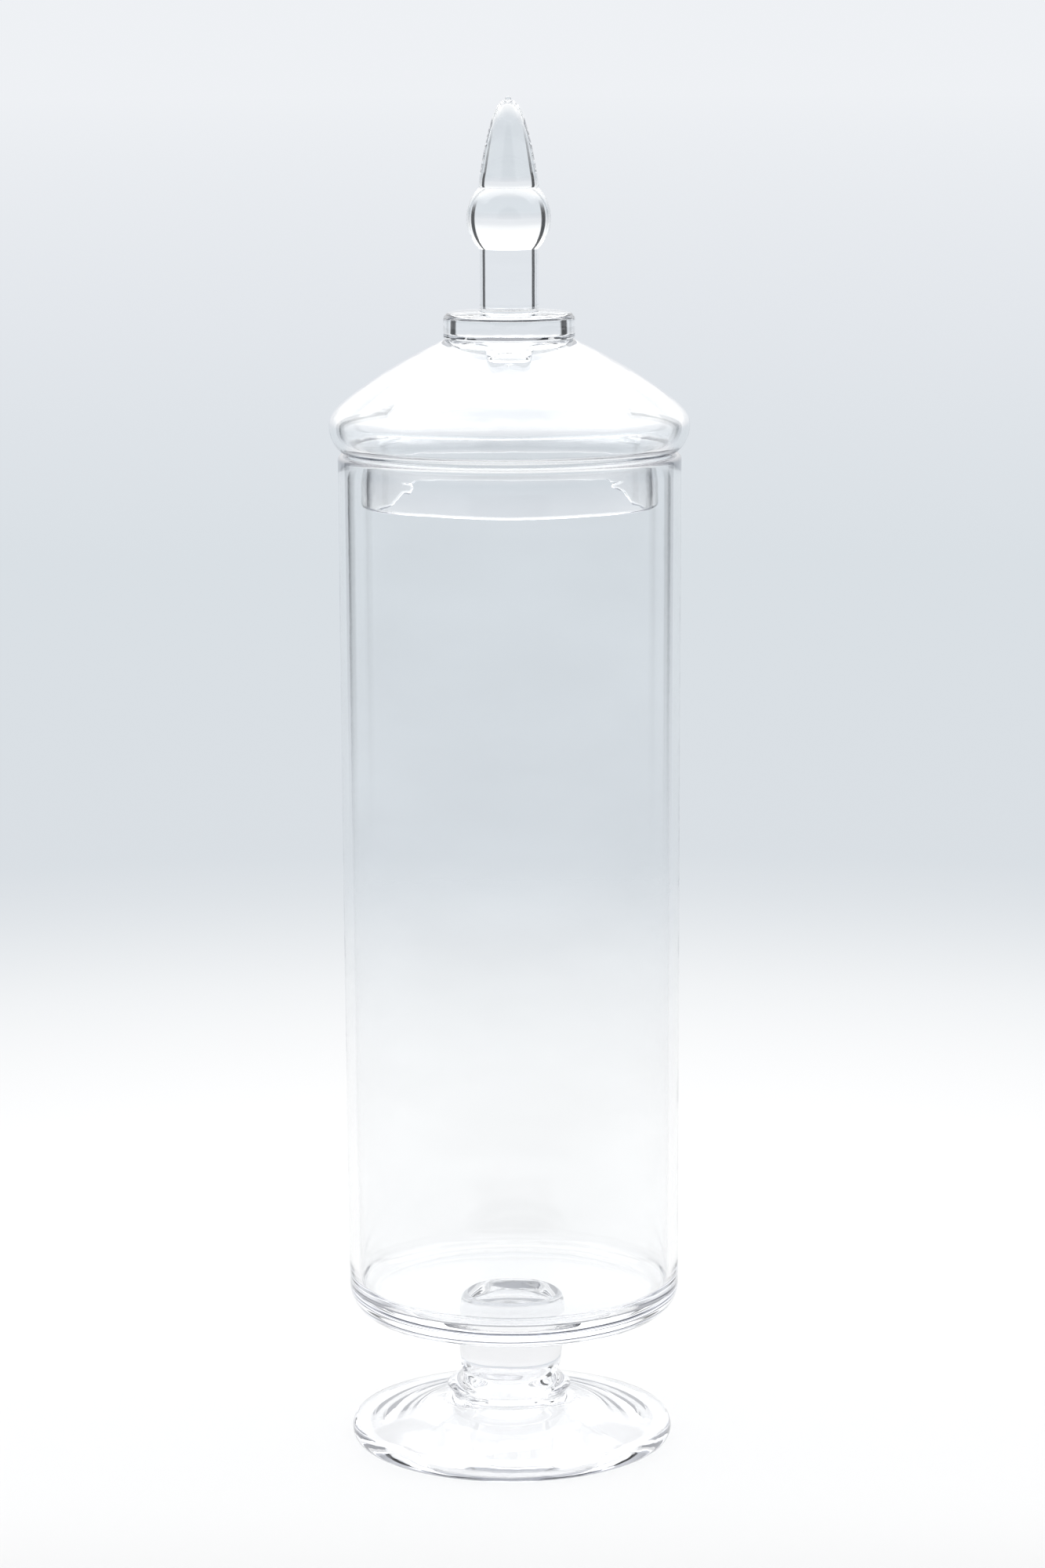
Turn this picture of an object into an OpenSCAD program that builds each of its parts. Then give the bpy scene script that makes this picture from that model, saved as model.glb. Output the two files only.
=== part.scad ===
// Tall footed display jar in clear glass with a domed lift-off lid and a spire finial.
// Every gather of glass is a turned solid about the vertical axis. The jar group is the foot,
// the pedestal stem and the cylinder; the lid group is the dome, the disc and the finial.
// Origin: centre of the ring the foot stands on. +Z points up along the axis. Millimetres.

/* [Foot] */
// Outer radius of the foot
foot_r = 72; // [69:0.2:76]
// Height of the foot, from the table to its joint with the stem
foot_h = 30; // [28.5:0.5:32]
// Height of the oval rim of the foot
foot_rim_t = 9.6; // [8.6:0.2:10.4]
// Half the width of the oval rim
foot_edge = 3.4; // [3:0.2:4]
// Width of the flat ring that the foot stands on
ground_ring_w = 3; // [2.4:0.2:4]
// Glass thickness of the foot's cone
foot_wall = 4.8; // [4:0.2:5.4]
// Radius of the swelling where the foot meets the stem
collar_r = 28; // [27:0.2:29.4]
// How far the swelling draws in again below its widest line
collar_tuck = 2.6; // [1.6:0.1:3]
// Radius of the hollow under the foot, where it passes inside the swelling
throat_r = 17; // [15:0.2:18.6]
// Radius of the hollow at its flat top
hollow_top_r = 12; // [10:0.2:13]
// Thickness of glass between the hollow and the stem
hollow_gap = 2.8; // [2.4:0.1:4]

/* [Pedestal stem] */
// Radius of the stem at its lower joint
stem_low_r = 21.3; // [19.7:0.2:22.5]
// Largest radius of the stem, a little below the cylinder
stem_top_r = 23.6; // [22.6:0.2:25]
// Radius of the joint between the stem and the cylinder
stem_joint_r = 20.4; // [19:0.2:22]
// Height of the stem
stem_h = 29; // [26:1:36]

/* [Cylinder] */
// Outer radius of the cylinder at its rim
jar_r = 75; // [74:0.2:76]
// How much narrower the cylinder is near its base
jar_taper = 1.1; // [0.2:0.1:1.6]
// Height of the cylinder, from its underside to its rim
jar_h = 385; // [340:5:420]
// Wall thickness of the cylinder
jar_wall = 4.5; // [3.8:0.1:5]
// Thickness of the cylinder's floor
jar_floor_t = 10.5; // [9:0.5:13]
// Rounding of the outer edge of the base
heel_round = 13; // [8:0.5:14]
// Rounding inside, between the wall and the floor
corner_round = 8; // [5:0.5:10]

/* [Lid] */
// Largest outer radius of the dome
dome_r = 78.7; // [78:0.1:80]
// Height of the dome, from the seat to its flat top
dome_h = 49.6; // [46:0.2:54]
// Wall thickness of the dome
dome_wall = 4; // [3.2:0.1:4.4]
// Outer radius of the flange that drops into the cylinder
flange_r = 64.8; // [63.8:0.1:66]
// Depth of the flange below the seat
flange_h = 22.5; // [18:0.5:26]
// Wall thickness of the flange
flange_wall = 3; // [2.4:0.1:3.4]
// Air between the seat of the lid and the rim of the cylinder
seat_gap = 0.3; // [0.2:0.1:0.6]
// Radius of the drop of glass inside the top of the dome
drop_r = 9.6; // [8:0.2:11]
// Length of that drop
drop_h = 8; // [5:0.2:9]

/* [Finial] */
// Radius of the flat disc under the finial
disc_r = 28.75; // [28:0.25:30]
// Thickness of the disc
disc_t = 11.4; // [10:0.2:13]
// Radius of the finial's round stem
shaft_r = 12.95; // [12:0.05:13.4]
// Length of the finial's round stem
shaft_h = 27.4; // [22:0.2:34]
// Radius of the ball
ball_r = 18.5; // [17.8:0.1:20]
// Radius of the spire at its foot
spire_r = 13.3; // [12.4:0.1:13.8]
// Height of the spire without its tip
spire_h = 37; // [32:0.2:42]
// Height of the sheared nub on the tip
nub_h = 1.7; // [1.2:0.1:2.2]

/* [Hidden] */

// facets of a full turn, and steps along one curved stretch of an outline
$fn = 96;
steps = 8;

// heights of the joints between one gather and the next, from the table up
stem_z = foot_h;
jar_z = stem_z + stem_h;
floor_z = jar_z + jar_floor_t;
rim_z = jar_z + jar_h;
seat_z = rim_z + seat_gap;
dome_top_z = seat_z + dome_h;
shaft_z = dome_top_z + disc_t;

// the ball is cut flat where it joins the shaft below and the spire above
ball_cut_low = sqrt(pow(ball_r, 2) - pow(shaft_r, 2));
ball_cut_top = sqrt(pow(ball_r, 2) - pow(spire_r - 0.4, 2));
ball_low_z = shaft_z + shaft_h;
ball_mid_z = ball_low_z + ball_cut_low;
spire_z = ball_mid_z + ball_cut_top;

// power of the spire's taper, and the part of its full height left before the tip is sheared off
spire_power = 0.42;
spire_left = 0.984;

// tints, as thick and thin glass show them
clear = [0.90, 0.94, 0.95, 0.35];
thick = [0.80, 0.86, 0.88, 0.45];

// a point of the cubic curve a, b, c, d at t, and the inward normal there
function curve_at(a, b, c, d, t) =
    a * pow(1 - t, 3) + b * 3 * t * pow(1 - t, 2) + c * 3 * t * t * (1 - t) + d * pow(t, 3);
function heading_at(a, b, c, d, t) =
    (b - a) * pow(1 - t, 2) + (c - b) * 2 * t * (1 - t) + (d - c) * t * t;
function inward(v) = [v[1], -v[0]] / norm(v);

// points along a cubic curve, moved inwards by a thickness that runs from w0 to w1;
// t0 and t1 choose the stretch of the curve that is followed
function curve(q, w0 = 0, w1 = 0, t0 = 0, t1 = 1) = [
    for (i = [0:steps])
        let (t = t0 + (t1 - t0) * i / steps, w = w0 + (w1 - w0) * t)
            curve_at(q[0], q[1], q[2], q[3], t)
                + w * inward(heading_at(q[0], q[1], q[2], q[3], t))
];

// points along an arc about c, and along an oval that is rx wide and rz high each way
function oval(c, rx, rz, from, to) = [
    for (i = [0:steps])
        let (a = from + (to - from) * i / steps) c + [rx * cos(a), rz * sin(a)]
];
function arc(c, r, from, to) = oval(c, r, r, from, to);

// points of a list in reverse order, and a list without points that repeat the one before
function back(p) = [for (i = [len(p) - 1:-1:0]) p[i]];
function tidy(p) = [for (i = [0:len(p) - 1]) if (i == 0 || norm(p[i] - p[i - 1]) > 0.01) p[i]];

// a turned solid from an outline of [radius, height] points
module turned(outline) {
    rotate_extrude() polygon(tidy(outline));
}

// ---- jar group ----

// The foot is one spread cone with a swelling at its top, an oval rim and a hollow below.
swell_z = foot_h - 5.5;
neck_r = collar_r - collar_tuck;
neck_z = foot_h - 10.6;
swelling = [
    [stem_low_r, foot_h],
    [stem_low_r + 2, foot_h - 2.4],
    [collar_r - 1.6, foot_h - 4.2],
    [collar_r, swell_z]
];
tuck = [
    [collar_r, swell_z],
    [collar_r + 0.6, swell_z - 0.9],
    [neck_r, neck_z + 2.6],
    [neck_r, neck_z]
];
// the cone runs into the rim this far round the rim's oval
rim_mid = [foot_r - foot_edge, foot_rim_t / 2];
rim_turn = 64;
rim = oval(rim_mid, foot_edge, foot_rim_t / 2, rim_turn, -90);
cone = [
    [neck_r, neck_z],
    [neck_r, neck_z - 2.4],
    [collar_r + 20, foot_rim_t + 4.6],
    rim[0]
];
// The hollow leaves the ground ring, follows the cone one wall thickness below it, and narrows
// through a throat inside the swelling to a small flat top.
ring_in_r = foot_r - foot_edge - ground_ring_w;
hollow_meet = 0.5;
hollow_leave = 0.34;
under = curve(cone, foot_wall, foot_wall, hollow_meet, hollow_leave);
meet = under[0];
leave = under[steps];
way_in = (under[1] - meet) / norm(under[1] - meet);
way_out = (leave - under[steps - 1]) / norm(leave - under[steps - 1]);
hollow_low = [[ring_in_r, 0], [ring_in_r - 7, 2.8], meet - 6 * way_in, meet];
throat = [throat_r, neck_z - 0.6];
hollow_high = [leave, leave + 9 * way_out, throat + [1.4, -4.2], throat];
hollow_z = foot_h - hollow_gap;
hollow_corner = 1.6;
hollow_neck = [
    throat,
    throat + [-0.8, 2.4],
    [hollow_top_r, hollow_z - hollow_corner - 2],
    [hollow_top_r, hollow_z - hollow_corner]
];

module foot() {
    color(clear) turned(concat(
        [[0, foot_h]],
        curve(swelling),
        curve(tuck),
        curve(cone),
        rim,
        curve(hollow_low),
        under,
        curve(hollow_high),
        curve(hollow_neck),
        arc([hollow_top_r - hollow_corner, hollow_z - hollow_corner], hollow_corner, 0, 90),
        [[0, hollow_z]]
    ));
}

// The stem is solid and narrows towards the foot, with a round shoulder under the cylinder.
widest_z = stem_z + stem_h * 0.62;
stem_side = [
    [stem_low_r, stem_z],
    [stem_low_r + 1.3, stem_z + 1.8],
    [stem_top_r - 0.3, stem_z + stem_h * 0.3],
    [stem_top_r, widest_z]
];
stem_shoulder = [
    [stem_top_r, widest_z],
    [stem_top_r + 0.1, stem_z + stem_h * 0.85],
    [stem_top_r - 0.2, stem_z + stem_h - 1],
    [stem_joint_r, stem_z + stem_h]
];

module pedestal_stem() {
    color(thick) turned(concat(
        [[0, stem_z]],
        curve(stem_side),
        curve(stem_shoulder),
        [[0, stem_z + stem_h]]
    ));
}

// The cylinder is open at its rim, with a thick floor and a fire-polished lip.
low_r = jar_r - jar_taper;
lip_r = jar_wall / 2;

module jar_cylinder() {
    color(clear) turned(concat(
        [[0, jar_z]],
        arc([low_r - heel_round, jar_z + heel_round], heel_round, -90, 0),
        arc([jar_r - lip_r, rim_z - lip_r], lip_r, 0, 180),
        arc([low_r - jar_wall - corner_round, floor_z + corner_round], corner_round, 0, -90),
        [[0, floor_z]]
    ));
}

// ---- lid group ----

// The dome falls from its flat top to a round shoulder, turns back in over the rim of the cylinder
// and drops as a straight flange.
dome_flat_r = disc_r - 1.25;
shoulder_z = seat_z + 12.4;
slope_end = [dome_r - 7.7, shoulder_z + 11];
seat_out = [flange_r + 6.9, seat_z + 0.2];
flange_top = [flange_r, seat_z - 8];
flange_low_z = seat_z - flange_h;
slope = [
    [dome_flat_r, dome_top_z],
    [dome_flat_r + 14.5, dome_top_z - 7],
    slope_end + [-13.5, 10.6],
    slope_end
];
shoulder = [slope_end, slope_end + [3.8, -3], [dome_r, shoulder_z + 4.5], [dome_r, shoulder_z]];
undercut = [[dome_r, shoulder_z], [dome_r, shoulder_z - 4.8], seat_out + [4.7, 2.1], seat_out];
seat_turn = [seat_out, seat_out + [-3.3, -1.5], flange_top + [0, 5], flange_top];
// inside surface, one wall thickness behind the outside
slope_in = curve(slope, dome_wall, dome_wall);
seat_turn_in = curve(seat_turn, dome_wall, flange_wall);
ceiling_z = slope_in[0][1];

module lid_dome() {
    color(clear) turned(concat(
        [[0, dome_top_z]],
        curve(slope),
        curve(shoulder),
        curve(undercut),
        curve(seat_turn),
        arc([flange_r - flange_wall / 2, flange_low_z + flange_wall / 2], flange_wall / 2, 0, -180),
        back(seat_turn_in),
        back(curve(undercut, dome_wall, dome_wall)),
        back(curve(shoulder, dome_wall, dome_wall)),
        back(slope_in),
        [[drop_r + 1.6, ceiling_z]],
        arc([drop_r - 1.6, ceiling_z - drop_h + 1.6], 1.6, 0, -90),
        [[0, ceiling_z - drop_h]]
    ));
}

// The disc has a full round upper edge and a small lower one.
disc_top_round = 3.4;
disc_low_round = 1.2;

module lid_disc() {
    color(thick) turned(concat(
        [[0, dome_top_z]],
        arc([disc_r - disc_low_round, dome_top_z + disc_low_round], disc_low_round, -90, 0),
        arc([disc_r - disc_top_round, shaft_z - disc_top_round], disc_top_round, 0, 90),
        [[0, shaft_z]]
    ));
}

// The shaft is a plain rod with a small fillet on the disc.
shaft_fillet = 0.9;

module finial_shaft() {
    color(thick) turned(concat(
        [[0, shaft_z]],
        arc([shaft_r + shaft_fillet, shaft_z + shaft_fillet], shaft_fillet, -90, -180),
        [[shaft_r, ball_low_z], [0, ball_low_z]]
    ));
}

module finial_ball() {
    color(thick) intersection() {
        translate([0, 0, ball_mid_z]) sphere(ball_r);
        translate([0, 0, ball_low_z]) cylinder(h = ball_cut_low + ball_cut_top, r = ball_r + 1);
    }
}

// The spire narrows by a power of the height left above it, to a sheared nub.
nub_r = 1.3;

function spire_at(t) = [spire_r * pow(1 - spire_left * t, spire_power), spire_z + spire_h * t];

module finial_spire() {
    rings = 3 * steps;
    color(thick) turned(concat(
        [[0, spire_z], [spire_r - 0.4, spire_z]],
        [for (i = [0:rings]) let (t = i / rings) spire_at(0.02 + 0.98 * sqrt(sin(90 * t)))],
        arc([0, spire_z + spire_h + nub_h - nub_r], nub_r, -20, 90)
    ));
}

foot();
pedestal_stem();
jar_cylinder();
lid_dome();
lid_disc();
finial_shaft();
finial_ball();
finial_spire();
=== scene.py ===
"""Clear glass display jar with a domed lid: each gather of glass as a turned piece, and the studio round it."""
import math

import bmesh
import bpy
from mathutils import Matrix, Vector, noise


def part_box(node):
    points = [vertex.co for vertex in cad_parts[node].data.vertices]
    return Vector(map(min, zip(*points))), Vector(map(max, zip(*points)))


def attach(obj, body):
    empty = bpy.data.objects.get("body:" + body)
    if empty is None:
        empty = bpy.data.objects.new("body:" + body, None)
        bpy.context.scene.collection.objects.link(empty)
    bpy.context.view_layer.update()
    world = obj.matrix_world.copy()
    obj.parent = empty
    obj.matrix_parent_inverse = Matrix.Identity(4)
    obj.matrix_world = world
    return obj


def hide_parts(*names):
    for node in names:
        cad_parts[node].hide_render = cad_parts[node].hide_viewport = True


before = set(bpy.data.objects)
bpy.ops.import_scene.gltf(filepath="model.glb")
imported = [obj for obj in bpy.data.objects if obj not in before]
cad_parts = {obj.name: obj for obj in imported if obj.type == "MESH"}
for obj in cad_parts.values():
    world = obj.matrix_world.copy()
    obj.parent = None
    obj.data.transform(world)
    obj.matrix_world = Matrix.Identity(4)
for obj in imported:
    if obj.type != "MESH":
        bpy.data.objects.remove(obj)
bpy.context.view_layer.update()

MM = 0.001

# ---------------------------------------------------------------- sizes, from the frame


def low_z(node):
    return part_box(node)[0][2]


def high_z(node):
    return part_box(node)[1][2]


def radius(node):
    low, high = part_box(node)
    return (high[0] - low[0]) / 2 - SHY


SHY = 0.1 * MM               # every piece stays this far inside its CAD solid's box
STEPS = 12                   # points along one curved stretch of an outline
SEGMENTS = 320               # columns round a turned piece

FOOT_RIM = 9.6 * MM          # height of the foot's rounded rim
FOOT_EDGE = 3.4 * MM         # half width of the rim's oval section
GROUND_RING = 3 * MM         # width of the ring that the foot stands on
FOOT_WALL = 4.8 * MM         # glass thickness of the foot's cone
COLLAR_R = 28 * MM           # swelling where the foot meets the stem
COLLAR_TUCK = 2.6 * MM       # how far the swelling draws in again below
HOLLOW_TOP_R = 12 * MM       # flat top of the hollow under the foot
HOLLOW_GAP = 2.8 * MM        # glass between the hollow's top and the stem
THROAT_R = 17 * MM           # hollow where it passes inside the swelling
HOLLOW_MEET, HOLLOW_LEAVE = 0.5, 0.34   # stretch of the cone that the hollow follows
STEM_LOW_R = 21.3 * MM
STEM_TOP_R = 23.6 * MM
STEM_JOINT_R = 20.4 * MM     # where the stem meets the cylinder
JAR_WALL = 4.5 * MM
JAR_FLOOR = 10.5 * MM
HEEL = 13 * MM               # outer rounding of the cylinder's base
CORNER = 8 * MM              # inner rounding above the floor
JAR_TAPER = 1.1 * MM
DOME_WALL = 4 * MM
FLANGE_R = 64.8 * MM
FLANGE_WALL = 3 * MM
FLANGE_H = 22.5 * MM         # from the flange's low edge up to the lid's seat
FLANGE_STRAIGHT = 14.5 * MM  # the straight part of that
DROP_R = 9.6 * MM            # drop of glass inside the dome's top
DROP_H = 8 * MM
SHAFT_R = 12.95 * MM
SPIRE_R = 13.3 * MM
SPIRE_POWER = 0.42           # power of the spire's taper
SPIRE_LEFT = 0.984           # part of its full height left before the tip was sheared off
SPIRE_RINGS = 140
NUB_R = 1.3 * MM
NUB_H = 1.7 * MM

# ---------------------------------------------------------------- outlines


def cubic(a, b, c, d, t):
    u = 1 - t
    return a * u ** 3 + b * 3 * t * u ** 2 + c * 3 * t * t * u + d * t ** 3


def curve(a, b, c, d, wall=(0.0, 0.0), steps=STEPS, span=(0.0, 1.0)):
    """Points [r, z] along a cubic curve, moved to its right by a thickness that runs between two values."""
    a, b, c, d = (Vector(p) for p in (a, b, c, d))
    out = []
    for i in range(steps + 1):
        t = span[0] + (span[1] - span[0]) * i / steps
        way = (b - a) * (1 - t) ** 2 + (c - b) * 2 * t * (1 - t) + (d - c) * t * t
        side = Vector((way[1], -way[0])).normalized()
        out.append(cubic(a, b, c, d, t) + side * (wall[0] + (wall[1] - wall[0]) * t))
    return out


def arc(centre, r, start, end, steps=STEPS, tall=None):
    """Points along an arc; with a tall value it is part of an ellipse, that high each way from its centre."""
    turns = [math.radians(start + (end - start) * i / steps) for i in range(steps + 1)]
    return [Vector(centre) + Vector((r * math.cos(t), (tall or r) * math.sin(t))) for t in turns]


def straight(a, b, steps):
    return [Vector(a).lerp(Vector(b), i / steps) for i in range(steps + 1)]


def foot_outline():
    top, r = high_z("foot"), radius("foot")
    half = FOOT_RIM / 2
    mid = Vector((r - FOOT_EDGE, half))
    rim = arc(mid, FOOT_EDGE, 64, -90, tall=half)
    side = rim[0]
    neck = COLLAR_R - COLLAR_TUCK
    swell_z, neck_z = top - 5.5 * MM, top - 10.6 * MM
    cone = [(neck, neck_z), (neck, neck_z - 2.4 * MM), (COLLAR_R + 20 * MM, FOOT_RIM + 4.6 * MM), side]
    under = curve(*cone, wall=(FOOT_WALL, FOOT_WALL), span=(HOLLOW_MEET, HOLLOW_LEAVE), steps=STEPS)
    ring = r - FOOT_EDGE - GROUND_RING
    meet, leave = under[0], under[-1]
    way_in, way_out = (under[1] - meet).normalized(), (leave - under[-2]).normalized()
    throat = Vector((THROAT_R, neck_z - 0.6 * MM))
    ceiling = top - HOLLOW_GAP
    corner = 1.6 * MM
    return [
        *curve((STEM_LOW_R, top), (STEM_LOW_R + 2 * MM, top - 2.4 * MM), (COLLAR_R - 1.6 * MM, top - 4.2 * MM),
               (COLLAR_R, swell_z)),
        *curve((COLLAR_R, swell_z), (COLLAR_R + 0.6 * MM, swell_z - 0.9 * MM), (neck, neck_z + 2.6 * MM),
               (neck, neck_z)),
        *curve(*cone, steps=2 * STEPS),
        *rim,
        *curve((ring, 0), (ring - 7 * MM, 2.8 * MM), meet - way_in * 6 * MM, meet),
        *under,
        *curve(leave, leave + way_out * 9 * MM, throat + Vector((1.4, -4.2)) * MM, throat),
        *curve(throat, throat + Vector((-0.8, 2.4)) * MM, (HOLLOW_TOP_R, ceiling - corner - 2 * MM),
               (HOLLOW_TOP_R, ceiling - corner)),
        *arc((HOLLOW_TOP_R - corner, ceiling - corner), corner, 0, 90),
    ]


def stem_outline():
    low, top = low_z("pedestal_stem"), high_z("pedestal_stem")
    h = top - low
    return [
        *curve((STEM_LOW_R, low), (STEM_LOW_R + 1.3 * MM, low + 1.8 * MM),
               (STEM_TOP_R - 0.3 * MM, low + h * 0.3), (STEM_TOP_R, low + h * 0.62)),
        *curve((STEM_TOP_R, low + h * 0.62), (STEM_TOP_R + 0.1 * MM, low + h * 0.85),
               (STEM_TOP_R - 0.2 * MM, top - 1 * MM), (STEM_JOINT_R, top)),
    ]


def cylinder_outline():
    low, top, r = low_z("jar_cylinder"), high_z("jar_cylinder"), radius("jar_cylinder")
    low_r, lip = r - JAR_TAPER, JAR_WALL / 2
    floor = low + JAR_FLOOR
    outer_low, outer_top = (low_r, low + HEEL), (r, top - lip)
    inner_top, inner_low = (r - JAR_WALL, top - lip), (low_r - JAR_WALL, floor + CORNER)
    return [
        (STEM_JOINT_R, low),
        *arc((low_r - HEEL, low + HEEL), HEEL, -90, 0),
        *straight(outer_low, outer_top, 60),
        *arc((r - lip, top - lip), lip, 0, 180),
        *straight(inner_top, inner_low, 60),
        *arc((low_r - JAR_WALL - CORNER, floor + CORNER), CORNER, 0, -90),
        *straight((low_r - JAR_WALL - CORNER, floor), (0.002, floor), 24),
    ]


def dome_outline():
    top, r = high_z("lid_dome"), radius("lid_dome")
    low = low_z("lid_dome")
    seat = low + FLANGE_H
    flat_r = radius("lid_disc") - 1.25 * MM
    shoulder = Vector((r, seat + 12.4 * MM))
    slope_end = Vector((r - 7.7 * MM, shoulder[1] + 11 * MM))
    seat_out = Vector((FLANGE_R + 6.9 * MM, seat + 0.2 * MM))
    flange = Vector((FLANGE_R, seat - 8 * MM))
    slope = [(flat_r, top), (flat_r + 14.5 * MM, top - 7 * MM),
             slope_end + Vector((-13.5, 10.6)) * MM, slope_end]
    round_out = [slope_end, slope_end + Vector((3.8, -3)) * MM, shoulder + Vector((0, 4.5)) * MM, shoulder]
    under = [shoulder, shoulder - Vector((0, 4.8)) * MM, seat_out + Vector((4.7, 2.1)) * MM, seat_out]
    turn = [seat_out, seat_out - Vector((3.3, 1.5)) * MM, flange + Vector((0, 5)) * MM, flange]
    wall, thinner = (DOME_WALL, DOME_WALL), (DOME_WALL, FLANGE_WALL)
    slope_in = curve(*slope, wall=wall)
    ceiling = slope_in[0][1]
    half = FLANGE_WALL / 2
    return [
        *curve(*slope),
        *curve(*round_out),
        *curve(*under),
        *curve(*turn),
        *arc((FLANGE_R - half, low + half), half, 0, -180),
        *reversed(curve(*turn, wall=thinner)),
        *reversed(curve(*under, wall=wall)),
        *reversed(curve(*round_out, wall=wall)),
        *reversed(slope_in),
        (DROP_R + 1.6 * MM, ceiling),
        *arc((DROP_R - 1.6 * MM, ceiling - DROP_H + 1.6 * MM), 1.6 * MM, 0, -90),
    ]


def disc_outline():
    low, top, r = low_z("lid_disc"), high_z("lid_disc"), radius("lid_disc")
    small, large = 1.2 * MM, 3.4 * MM
    return [
        *arc((r - small, low + small), small, -90, 0),
        *arc((r - large, top - large), large, 0, 90),
        (SHAFT_R + 0.9 * MM, top),
    ]


def shaft_outline():
    low, top = low_z("finial_shaft"), high_z("finial_shaft")
    fillet = 0.9 * MM
    return [
        *arc((SHAFT_R + fillet, low + fillet), fillet, -90, -180),
        *straight((SHAFT_R, low + fillet), (SHAFT_R, top), 10),
    ]


def ball_outline():
    low, top, r = low_z("finial_ball"), high_z("finial_ball"), radius("finial_ball")
    mid = low + math.sqrt(r * r - SHAFT_R ** 2)
    start = -math.degrees(math.asin((mid - low) / r))
    end = math.degrees(math.asin((top - mid) / r))
    return arc((0, mid), r, start, end, 70)


def spire_outline():
    low, top = low_z("finial_spire"), high_z("finial_spire")
    h = top - low - NUB_H
    start = 0.02
    turns = [math.pi / 2 * i / SPIRE_RINGS for i in range(SPIRE_RINGS + 1)]
    ts = [start + (1 - start) * math.sqrt(math.sin(a)) for a in turns]
    side = [(SPIRE_R * (1 - SPIRE_LEFT * t) ** SPIRE_POWER, low + h * t) for t in ts]
    return [(SPIRE_R - 0.4 * MM, low), *side, *arc((0, top - NUB_R), NUB_R, -20, 88)]


# ---------------------------------------------------------------- turned pieces


def tidy(points):
    """The points without any that repeats the one before."""
    kept = [Vector(points[0])]
    for p in points[1:]:
        if (Vector(p) - kept[-1]).length > 0.02 * MM:
            kept.append(Vector(p))
    return kept


BROAD_DENT = 0.30 * MM       # deepest slow dent in the glass, and deepest short one
FINE_DENT = 0.10 * MM

# how far the axis of the hot glass wanders sideways, by height: (z, x), both in millimetres
LEAN = ((0, -0.7), (12, -0.9), (24, -1.9), (34, -1.2), (56, -0.3), (66, 0.5), (150, 0.2), (300, 0.0), (600, 0.0))


def lean(z):
    for (z0, x0), (z1, x1) in zip(LEAN, LEAN[1:]):
        if z <= z1 * MM:
            t = max(0.0, (z / MM - z0) / (z1 - z0))
            return (x0 + (x1 - x0) * t * t * (3 - 2 * t)) * MM
    return 0.0


def hand_made(p, wobble):
    """A point of the true turned shape, moved as hand-made glass is: inwards, and sideways by its height.
    It depends on the place alone, so that two pieces that meet stay face to face."""
    r = math.hypot(p[0], p[1])
    broad = 0.5 + 0.5 * noise.noise(Vector((p[0] * 18, p[1] * 18, p[2] * 14)))
    fine = 0.5 + 0.5 * noise.noise(Vector((p[0] * 75, p[1] * 75, p[2] * 60 + 5)))
    near_axis = min(1.0, r / (10 * MM))
    dent = (broad * BROAD_DENT + fine * FINE_DENT) * wobble(p[2]) * near_axis
    k = (r - dent) / r if r > 1e-6 else 1.0
    return Vector((p[0] * k + lean(p[2]), p[1] * k, p[2]))


def jar_wobble(z):
    """Share of the dents by height: all near the foot and the base, a quarter up the cylinder's wall."""
    fade_from, fade_over = 0.085, 0.06
    t = min(1.0, max(0.0, (z - fade_from) / fade_over))
    return 1.0 - 0.75 * t


def lid_wobble(z):
    """Share of the dents on the lid, the same at every height."""
    return 0.45


# how much higher than its lowest point the flange's edge is: (azimuth in degrees, millimetres)
FLANGE_LIFT = ((-180, 0.4), (-150, 1.0), (-120, 0.2), (-95, 0.0), (-78, 0.6), (-60, 1.4), (-52, 4.2), (-47, 3.6),
               (-42, 7.4), (-30, 8.2), (-8, 8.9), (14, 8.6), (33, 8.2), (45, 7.6), (49, 4.6), (56, 5.0),
               (63, 1.8), (80, 0.5), (110, 0.0), (150, 0.7), (180, 0.4))


def flange_lift(azimuth):
    """The rise of the flange's edge in metres; azimuth 0 is at +Y."""
    for (a0, h0), (a1, h1) in zip(FLANGE_LIFT, FLANGE_LIFT[1:]):
        if azimuth <= a1:
            return (h0 + (h1 - h0) * (azimuth - a0) / (a1 - a0)) * MM
    return 0.0


def lift_flange(p, low):
    """The flange was sheared unevenly while hot: its edge rises at the back, with kinks."""
    top = low + FLANGE_STRAIGHT
    if p[2] > top or math.hypot(p[0], p[1]) < FLANGE_R - 2 * FLANGE_WALL:
        return p
    share = (top - p[2]) / (top - low)
    rise = flange_lift(math.degrees(math.atan2(p[0], p[1])))
    return Vector((p[0], p[1], p[2] + rise * share))


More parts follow.
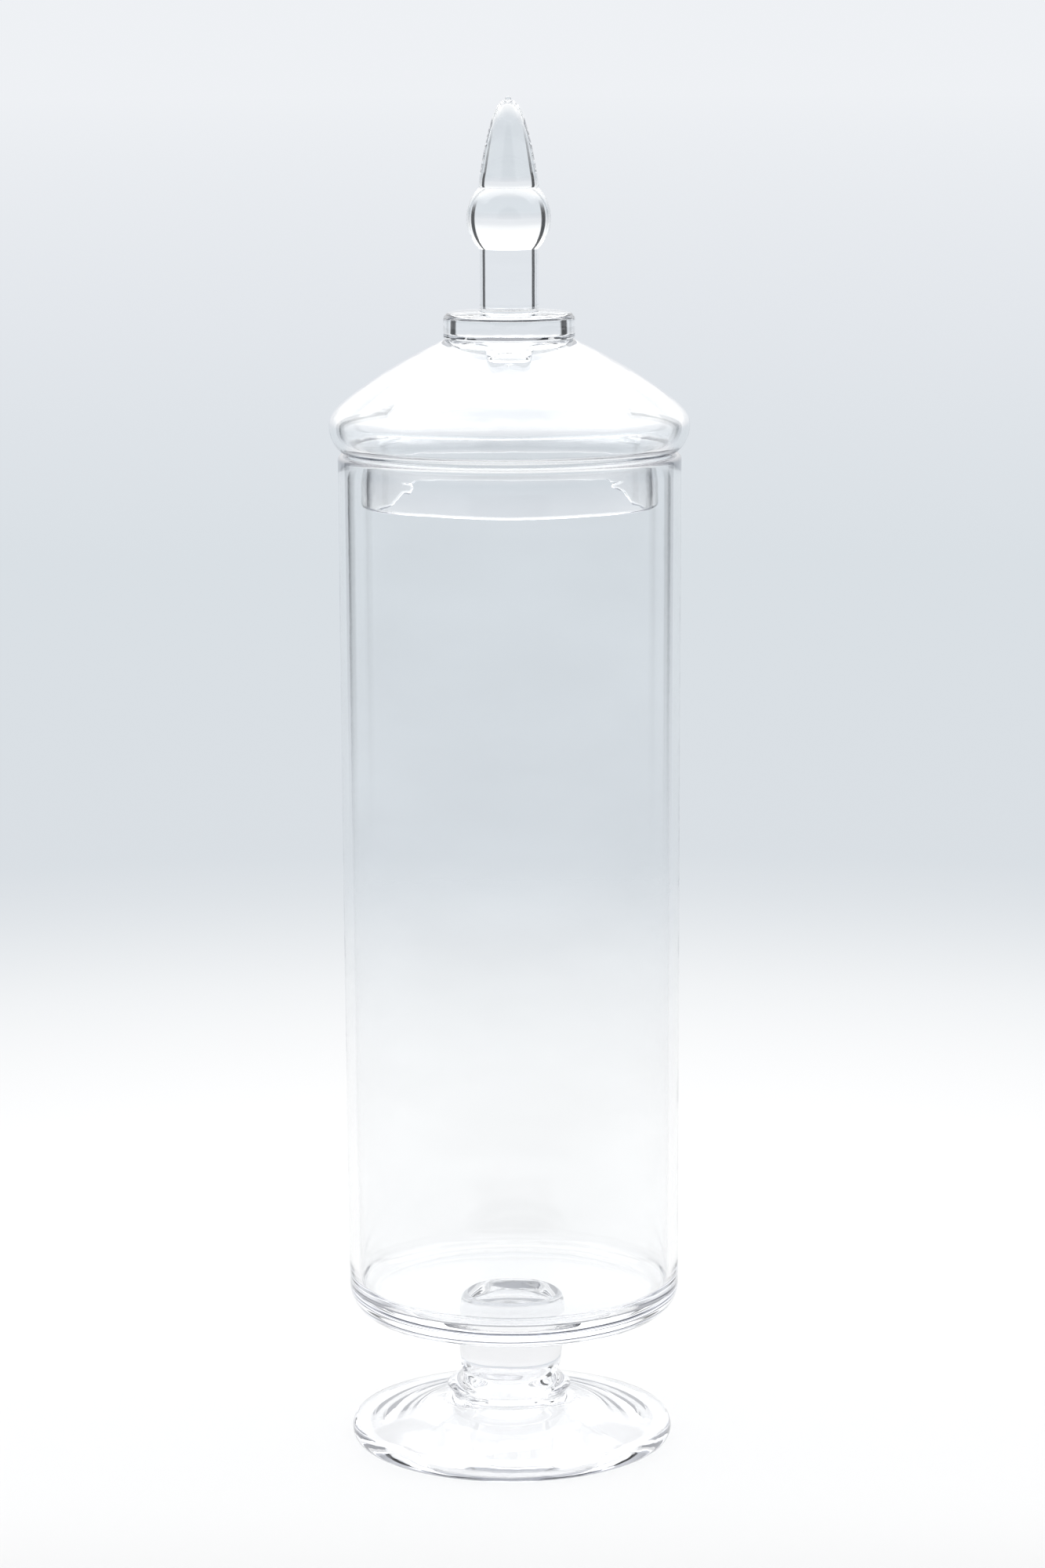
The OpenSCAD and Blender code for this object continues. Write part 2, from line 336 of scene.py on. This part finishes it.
def turned(name, outline, fused_start=False, fused_end=False, wobble=None, flange_low=None):
    """A closed turned mesh from an outline that runs from the bottom axis, round the outside, back to the axis.
    A fused start or end is a flat face where the next gather of glass begins: it gets the second material.
    wobble gives the share of the dents by height; flange_low is the height of an uneven flange's edge."""
    rings = tidy(outline)
    bm = bmesh.new()
    columns = [(math.cos(t), math.sin(t)) for t in (math.tau * i / SEGMENTS for i in range(SEGMENTS))]
    loops = [[bm.verts.new((p[0] * c, p[0] * s, p[1])) for c, s in columns] for p in rings]
    pole_a = bm.verts.new((0, 0, rings[0][1]))
    pole_b = bm.verts.new((0, 0, rings[-1][1]))
    for vert in bm.verts:
        at = vert.co.copy() if flange_low is None else lift_flange(vert.co.copy(), flange_low)
        vert.co = hand_made(at, wobble)
    for a, b in zip(loops, loops[1:]):
        for i in range(SEGMENTS):
            j = (i + 1) % SEGMENTS
            bm.faces.new((a[i], a[j], b[j], b[i]))
    for i in range(SEGMENTS):
        j = (i + 1) % SEGMENTS
        bm.faces.new((pole_a, loops[0][j], loops[0][i])).material_index = int(fused_start)
        bm.faces.new((pole_b, loops[-1][i], loops[-1][j])).material_index = int(fused_end)
    bmesh.ops.recalc_face_normals(bm, faces=bm.faces)
    if bm.calc_volume(signed=True) < 0:
        bmesh.ops.reverse_faces(bm, faces=bm.faces)
    for face in bm.faces:
        face.smooth = True
    for loop, fused in ((loops[0], fused_start), (loops[-1], fused_end)):
        if fused:
            for i in range(SEGMENTS):
                bm.edges.get((loop[i], loop[(i + 1) % SEGMENTS])).smooth = False
    mesh = bpy.data.meshes.new(name)
    bm.to_mesh(mesh)
    bm.free()
    piece = bpy.data.objects.new(name, mesh)
    bpy.context.scene.collection.objects.link(piece)
    return piece


# ---------------------------------------------------------------- materials


def new_material(name):
    mat = bpy.data.materials.new(name)
    mat.use_nodes = True
    mat.node_tree.nodes.clear()
    return mat, mat.node_tree.nodes, mat.node_tree.links


def add_node(tree, kind, **inputs):
    """A node of a kind; its inputs by number (i0, i1) take a socket to link or a plain value."""
    node = tree.nodes.new(kind)
    for key, value in inputs.items():
        if key.startswith("i") and key[1:].isdigit():
            socket = node.inputs[int(key[1:])]
            if isinstance(value, bpy.types.NodeSocket):
                tree.links.new(value, socket)
            else:
                socket.default_value = value
        else:
            setattr(node, key, value)
    return node


def maths(tree, operation, *values):
    node = add_node(tree, "ShaderNodeMath", operation=operation)
    for i, value in enumerate(values):
        if isinstance(value, bpy.types.NodeSocket):
            tree.links.new(value, node.inputs[i])
        else:
            node.inputs[i].default_value = value
    return node.outputs[0]


def stretch(tree, value, low, high, to_low=0.0, to_high=1.0):
    """A value smoothly mapped from one range to another."""
    node = add_node(tree, "ShaderNodeMapRange", interpolation_type="SMOOTHSTEP",
                    i0=value, i1=low, i2=high, i3=to_low, i4=to_high)
    return node.outputs[0]


def ramp(tree, value, stops):
    node = add_node(tree, "ShaderNodeValToRGB", i0=value)
    elements = node.color_ramp.elements
    for i, (at, colour) in enumerate(stops):
        element = elements[i] if i < 2 else elements.new(at)
        element.position = at
        element.color = (*colour, 1)
    return node.outputs[0]


DEEP = 7.0                   # surfaces after which light inside the glass is let straight out
LOST = (0.45, 0.46, 0.49)    # what is left of that light at each further surface


def glass(name, tint, waves, depth):
    """Clear glass, with slow ripples and tool marks in its surface, cords in its tint and a faint haze."""
    mat, nodes, links = new_material(name)
    tree = mat.node_tree
    out = nodes.new("ShaderNodeOutputMaterial")
    body = nodes.new("ShaderNodeBsdfPrincipled")
    coord = nodes.new("ShaderNodeTexCoord")
    place = add_node(tree, "ShaderNodeMapping", i0=coord.outputs["Object"], i3=(1.0, 1.0, 2.4)).outputs[0]
    ripple = add_node(tree, "ShaderNodeTexNoise", i0=place, i2=waves, i3=2.0).outputs[0]
    cords = add_node(tree, "ShaderNodeTexNoise", i0=place, i2=waves * 0.4, i3=3.0).outputs[0]
    bump = add_node(tree, "ShaderNodeBump", i0=depth, i1=0.001)
    links.new(ripple, bump.inputs["Height"])
    links.new(bump.outputs[0], body.inputs["Normal"])
    dim = tuple(c - 0.03 for c in tint)
    links.new(ramp(tree, cords, ((0.35, dim), (0.65, tint))), body.inputs["Base Color"])
    links.new(stretch(tree, cords, 0.55, 0.8, 0.0, 0.02), body.inputs["Roughness"])
    body.inputs["IOR"].default_value = 1.5
    body.inputs["Transmission Weight"].default_value = 1.0
    clear = nodes.new("ShaderNodeBsdfTransparent")
    clear.inputs["Color"].default_value = (0.96, 0.965, 0.97, 1)
    path = nodes.new("ShaderNodeLightPath")
    open_light = add_node(tree, "ShaderNodeMixShader", i0=path.outputs["Is Diffuse Ray"], i1=body.outputs[0],
                          i2=clear.outputs[0])
    deep = maths(tree, "GREATER_THAN", path.outputs["Ray Depth"], DEEP)
    lost = add_node(tree, "ShaderNodeBsdfTransparent", i0=(*LOST, 1))
    leak = add_node(tree, "ShaderNodeMixShader", i0=deep, i1=open_light.outputs[0], i2=lost.outputs[0])
    lamps = add_node(tree, "ShaderNodeMixShader", i0=path.outputs["Is Shadow Ray"], i1=leak.outputs[0],
                     i2=clear.outputs[0])
    links.new(lamps.outputs[0], out.inputs[0])
    return mat


def fused():
    mat, nodes, links = new_material("fused_joint")
    out = nodes.new("ShaderNodeOutputMaterial")
    clear = nodes.new("ShaderNodeBsdfTransparent")
    clear.inputs["Color"].default_value = (1, 1, 1, 1)
    links.new(clear.outputs[0], out.inputs[0])
    return mat


# ---------------------------------------------------------------- camera and studio


def make_camera():
    data = bpy.data.cameras.new("camera")
    data.lens = 105
    data.sensor_width = 36
    data.clip_start, data.clip_end = 0.1, 100
    cam = bpy.data.objects.new("camera", data)
    bpy.context.scene.collection.objects.link(cam)
    cam.location = (0.0051, -1.9856, 0.6465)
    cam.rotation_mode = "XYZ"
    cam.rotation_euler = (math.radians(90 - 9.96), 0, 0)
    cam.rotation_euler.rotate_axis("Z", math.radians(-0.21))
    bpy.context.scene.camera = cam


def grid_object(name, verts, faces, mat):
    mesh = bpy.data.meshes.new(name)
    mesh.from_pydata(verts, [], faces)
    mesh.materials.append(mat)
    ob = bpy.data.objects.new(name, mesh)
    bpy.context.scene.collection.objects.link(ob)
    return ob


FAR = (0.86, 0.88, 0.91)     # the paper and the air where they meet, far behind the jar


def floor_material():
    """White paper whose brightness is painted light: it glows, bright round the jar and pale blue-grey further
    off and to the sides, with a painted pool of light under the foot and painted shade in front; near the jar a
    matt part takes the softbox's light.
    """
    mat, nodes, links = new_material("paper_floor")
    tree = mat.node_tree
    out = nodes.new("ShaderNodeOutputMaterial")
    coord = nodes.new("ShaderNodeTexCoord")
    length = add_node(tree, "ShaderNodeVectorMath", operation="LENGTH", i0=coord.outputs["Object"])
    away = length.outputs["Value"]
    # logarithm of the distance, from 0 at the first to 1 at the second
    first, last = 0.1, 25
    far = maths(tree, "LOGARITHM", maths(tree, "DIVIDE", away, first), last / first)

    def at(metres):
        return math.log(metres / first) / math.log(last / first)

    # painted light: the paper's glow, white round the jar and dimmer blue-grey further off
    tone = ramp(tree, far, (
        (0.0, (1.0, 1.0, 1.0)), (at(last), FAR), (at(0.55), (0.97, 0.97, 0.97)), (at(0.95), (0.84, 0.86, 0.88)),
        (at(1.4), (0.70, 0.74, 0.78)), (at(3.2), (0.70, 0.745, 0.785)), (at(7), (0.77, 0.80, 0.84))))
    # near the jar part of the painted glow gives way to matt paper that the softbox lights
    near = stretch(tree, away, 1.3, 0.45)
    painted_light_level = maths(tree, "SUBTRACT", 1.0, maths(tree, "MULTIPLY", near, 0.50))
    # painted pool of light on the paper under the foot, a made-up caustic
    painted_light_pool = stretch(tree, away, 0.068, 0.05, 0.0, 0.08)
    front = add_node(tree, "ShaderNodeSeparateXYZ", i0=coord.outputs["Object"]).outputs[1]
    painted_light_level = maths(tree, "ADD", painted_light_level, painted_light_pool)
    # painted shade on the paper in front of the jar
    painted_front_shade = maths(tree, "MULTIPLY", near, stretch(tree, front, -0.07, -0.40, 0.0, 0.18))
    painted_light_level = maths(tree, "SUBTRACT", painted_light_level, painted_front_shade)
    glow = add_node(tree, "ShaderNodeEmission", i0=tone, i1=painted_light_level)
    matt_colour = maths(tree, "MULTIPLY", near, 0.25)
    matt = add_node(tree, "ShaderNodeBsdfDiffuse", i0=matt_colour)
    add = add_node(tree, "ShaderNodeAddShader", i0=glow.outputs[0], i1=matt.outputs[0])
    links.new(add.outputs[0], out.inputs[0])
    return mat


FLOOR_GAP = 0.4 * MM         # air between the paper and the glass that stands on it


def make_floor():
    n, r = 96, 24.0
    verts = [(r * math.cos(math.tau * i / n), r * math.sin(math.tau * i / n), 0) for i in range(n)]
    floor = grid_object("floor", verts, [tuple(range(n))], floor_material())
    floor.location.z = -FLOOR_GAP


def card(name, azimuth, distance, width, high, level, fade):
    """An upright card facing the jar, with edges that fade out. Azimuth 0 is straight behind the jar."""
    mat, nodes, links = new_material(name)
    tree = mat.node_tree
    out = nodes.new("ShaderNodeOutputMaterial")
    coord = nodes.new("ShaderNodeTexCoord")
    split = add_node(tree, "ShaderNodeSeparateXYZ", i0=coord.outputs["Object"])
    across = maths(tree, "ABSOLUTE", split.outputs[0])
    glow = add_node(tree, "ShaderNodeEmission", i0=(*level, 1))
    clear = nodes.new("ShaderNodeBsdfTransparent")
    solid = maths(tree, "MULTIPLY", stretch(tree, across, width / 2, width / 2 - fade),
                  stretch(tree, split.outputs[2], 0.0, 0.32))
    mix = add_node(tree, "ShaderNodeMixShader", i0=solid, i1=clear.outputs[0], i2=glow.outputs[0])
    links.new(mix.outputs[0], out.inputs[0])
    half = width / 2
    verts = [(-half, 0, 0), (half, 0, 0), (half, 0, high), (-half, 0, high)]
    ob = grid_object(name, verts, [(0, 1, 2, 3)], mat)
    a = math.radians(azimuth)
    ob.location = (math.sin(a) * distance, math.cos(a) * distance, 0.001)
    ob.rotation_euler = (0, 0, -a)
    ob.visible_camera = False
    ob.visible_diffuse = False
    ob.visible_shadow = False
    return ob


SOFTBOX_LEVEL = 3.2          # radiance of the overhead softbox, where the paper is about 1
SKY_LEVEL = 1.35             # radiance of the air high up


def make_softbox():
    """A wide softbox above the jar, brightest in its middle and fading out towards its edges."""
    mat, nodes, links = new_material("softbox")
    tree = mat.node_tree
    out = nodes.new("ShaderNodeOutputMaterial")
    coord = nodes.new("ShaderNodeTexCoord")
    split = add_node(tree, "ShaderNodeSeparateXYZ", i0=coord.outputs["Object"])
    across, along = (maths(tree, "ABSOLUTE", split.outputs[i]) for i in (0, 1))
    wide, deep = 6.4, 3.4
    level = maths(tree, "MULTIPLY", stretch(tree, across, wide / 2, wide / 2 - 1.6),
                  stretch(tree, along, deep / 2, deep / 2 - 0.3))
    power = maths(tree, "ADD", maths(tree, "MULTIPLY", level, SOFTBOX_LEVEL - SKY_LEVEL), SKY_LEVEL)
    glow = add_node(tree, "ShaderNodeEmission", i0=(1, 1, 1, 1), i1=power)
    links.new(glow.outputs[0], out.inputs[0])
    x, y = wide / 2, deep / 2
    ob = grid_object("softbox", [(-x, -y, 0), (-x, y, 0), (x, y, 0), (x, -y, 0)], [(0, 1, 2, 3)], mat)
    ob.location = (0, 1.0, 2.1)
    ob.visible_camera = False


def make_world():
    """Pale air all round, white higher up, and dim straight in front of the jar, towards -Y."""
    world = bpy.data.worlds.new("studio")
    bpy.context.scene.world = world
    world.use_nodes = True
    tree = world.node_tree
    tree.nodes.clear()
    out = tree.nodes.new("ShaderNodeOutputWorld")
    coord = tree.nodes.new("ShaderNodeTexCoord")
    split = add_node(tree, "ShaderNodeSeparateXYZ", i0=coord.outputs["Generated"])
    y, z = split.outputs[1], split.outputs[2]
    sky = ramp(tree, stretch(tree, z, 0.0, 0.5),
               ((0.0, FAR), (1.0, (0.97, 0.98, 1.0)), (0.1, (0.98, 0.99, 1.0))))
    front = stretch(tree, y, -0.80, -0.90)
    lift = stretch(tree, z, 0.03, 0.35, 1.0, SKY_LEVEL)
    level = maths(tree, "MULTIPLY", lift, maths(tree, "SUBTRACT", 1.0, maths(tree, "MULTIPLY", front, 0.8)))
    back = add_node(tree, "ShaderNodeBackground", i0=sky, i1=level)
    tree.links.new(back.outputs[0], out.inputs[0])


# ---------------------------------------------------------------- the jar

GLASS = {
    # slot: name, tint, how close the ripples lie, how strong they are
    "foot_glass": glass("foot_clear", (0.945, 0.948, 0.958), 60, 0.10),
    "stem_glass": glass("stem_clear", (0.925, 0.93, 0.945), 70, 0.08),
    "cylinder_glass": glass("cylinder_clear", (0.986, 0.992, 0.996), 26, 0.05),
    "dome_glass": glass("dome_clear", (0.986, 0.992, 0.996), 45, 0.10),
    "disc_glass": glass("disc_clear", (0.975, 0.986, 0.993), 60, 0.12),
    "finial_glass": glass("finial_clear", (0.975, 0.986, 0.993), 60, 0.06),
}
JOINT = fused()
PIECES = (
    # name, outline, fused at its start, fused at its end, node, body, slot
    ("foot_glass", foot_outline, True, False, "foot", "jar", "foot_glass"),
    ("stem_glass", stem_outline, True, True, "pedestal_stem", "jar", "stem_glass"),
    ("cylinder_glass", cylinder_outline, True, False, "jar_cylinder", "jar", "cylinder_glass"),
    ("dome_glass", dome_outline, True, False, "lid_dome", "lid", "dome_glass"),
    ("disc_glass", disc_outline, True, True, "lid_disc", "lid", "disc_glass"),
    ("shaft_glass", shaft_outline, True, True, "finial_shaft", "lid", "finial_glass"),
    ("ball_glass", ball_outline, True, True, "finial_ball", "lid", "finial_glass"),
    ("spire_glass", spire_outline, True, False, "finial_spire", "lid", "finial_glass"),
)


def make_jar():
    for name, outline, start, end, node, body, slot in PIECES:
        wobble = jar_wobble if body == "jar" else lid_wobble
        piece = turned(name, outline(), start, end, wobble, low_z(node) if node == "lid_dome" else None)
        piece.data.materials.append(GLASS[slot])
        piece.data.materials.append(JOINT)
        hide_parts(node)
        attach(piece, body)


def set_render():
    scene = bpy.context.scene
    scene.view_settings.view_transform = "Standard"
    scene.cycles.max_bounces = 32
    scene.cycles.transmission_bounces = 32
    scene.cycles.glossy_bounces = 12
    scene.cycles.transparent_max_bounces = 64
    scene.cycles.caustics_refractive = False
    scene.cycles.caustics_reflective = False


make_camera()
make_floor()
make_softbox()
make_world()
DARK = (0.02, 0.022, 0.025)
card("flag_left", -44, 1.2, 0.30, 1.6, DARK, 0.08)
card("flag_right", 46, 1.2, 0.28, 1.6, DARK, 0.07)
make_jar()
set_render()
